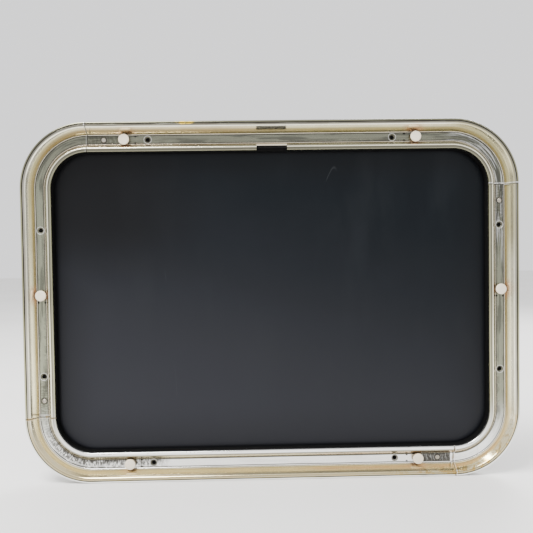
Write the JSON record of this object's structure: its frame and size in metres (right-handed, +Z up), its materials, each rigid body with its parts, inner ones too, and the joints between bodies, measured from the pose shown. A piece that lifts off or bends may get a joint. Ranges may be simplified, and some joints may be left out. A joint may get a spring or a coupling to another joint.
{
  "type": "opening porthole",
  "caption": "Rectangular opening porthole with a riveted channel frame, smoked acrylic sash on sill hinges, cam latches and screw holes for a hull side.",
  "frame": {"origin": "centre of the opening, in the plane of the hull's outer face that the frame's foot is bedded on", "axes": "+X to the right seen from outside, +Z up, +Y inboard through the hull; the channel flange faces -Y"},
  "size_m": [0.57, 0.052, 0.413],
  "materials": {
    "anodised_frame": "bright anodised, aged, cream and tan stains in the channel",
    "mill_aluminium": "mill finish, dull",
    "rivet_aluminium": "set rivet head, stained",
    "sash_aluminium": "satin anodised",
    "handle_aluminium": "cast and tumbled",
    "stainless_steel": "brushed",
    "spring_steel": "dark spring temper with rust bloom",
    "white_nylon": "aged off-white, fine grain",
    "black_nylon": "matt",
    "black_rubber": "matt",
    "smoked_acrylic": "dark smoked, glossy, lightly scratched"
  },
  "bodies": {
    "frame": {"top_rail": "anodised_frame", "top_splice_plate": "mill_aluminium", "top_splice_rivet": "rivet_aluminium", "top_nylon_button_1": "white_nylon", "top_spring_clip_1": "spring_steel", "top_nylon_button_2": "white_nylon", "top_spring_clip_2": "spring_steel", "right_rail": "anodised_frame", "right_splice_plate": "mill_aluminium", "right_splice_rivet": "rivet_aluminium", "right_nylon_button_1": "white_nylon", "right_spring_clip_1": "spring_steel", "bottom_rail": "anodised_frame", "bottom_splice_plate": "mill_aluminium", "bottom_splice_rivet": "rivet_aluminium", "bottom_nylon_button_1": "white_nylon", "bottom_spring_clip_1": "spring_steel", "bottom_nylon_button_2": "white_nylon", "bottom_spring_clip_2": "spring_steel", "left_rail": "anodised_frame", "left_splice_plate": "mill_aluminium", "left_splice_rivet": "rivet_aluminium", "left_nylon_button_1": "white_nylon", "left_spring_clip_1": "spring_steel", "frame_seal": "black_rubber", "bedding_tape": "black_rubber", "left_hinge_frame_leaf": "stainless_steel", "left_hinge_pin": "stainless_steel", "left_hinge_friction_washer": "black_nylon", "left_hinge_frame_screw_1": "stainless_steel", "left_hinge_frame_screw_2": "stainless_steel", "left_latch_keeper": "mill_aluminium", "left_keeper_pin": "stainless_steel", "right_hinge_frame_leaf": "stainless_steel", "right_hinge_pin": "stainless_steel", "right_hinge_friction_washer": "black_nylon", "right_hinge_frame_screw_1": "stainless_steel", "right_hinge_frame_screw_2": "stainless_steel", "right_latch_keeper": "mill_aluminium", "right_keeper_pin": "stainless_steel"},
    "sash": {"smoked_pane": "smoked_acrylic", "glazing_tape": "black_rubber", "sash_frame": "sash_aluminium", "left_hinge_sash_leaf": "stainless_steel", "left_hinge_sash_screw_1": "stainless_steel", "left_hinge_sash_screw_2": "stainless_steel", "left_latch_bush": "black_nylon", "right_hinge_sash_leaf": "stainless_steel", "right_hinge_sash_screw_1": "stainless_steel", "right_hinge_sash_screw_2": "stainless_steel", "right_latch_bush": "black_nylon"},
    "left_latch": {"left_latch_nut": "stainless_steel", "left_latch_spindle": "stainless_steel", "left_latch_tongue": "stainless_steel", "left_latch_handle": "handle_aluminium"},
    "right_latch": {"right_latch_nut": "stainless_steel", "right_latch_spindle": "stainless_steel", "right_latch_tongue": "stainless_steel", "right_latch_handle": "handle_aluminium"}
  },
  "joints": [
    {"name": "sash_hinge", "type": "hinge", "parent": "frame", "child": "sash", "pos_m": [0, 0.033, -0.177], "axis": [-1, 0, 0], "range_deg": [0, 90]},
    {"name": "left_latch_turn", "type": "hinge", "parent": "sash", "child": "left_latch", "pos_m": [-0.15, 0.02, 0.1695], "axis": [0, -1, 0], "range_deg": [0, 90]},
    {"name": "right_latch_turn", "type": "hinge", "parent": "sash", "child": "right_latch", "pos_m": [0.15, 0.02, 0.1695], "axis": [0, 1, 0], "range_deg": [0, 90]}
  ]
}
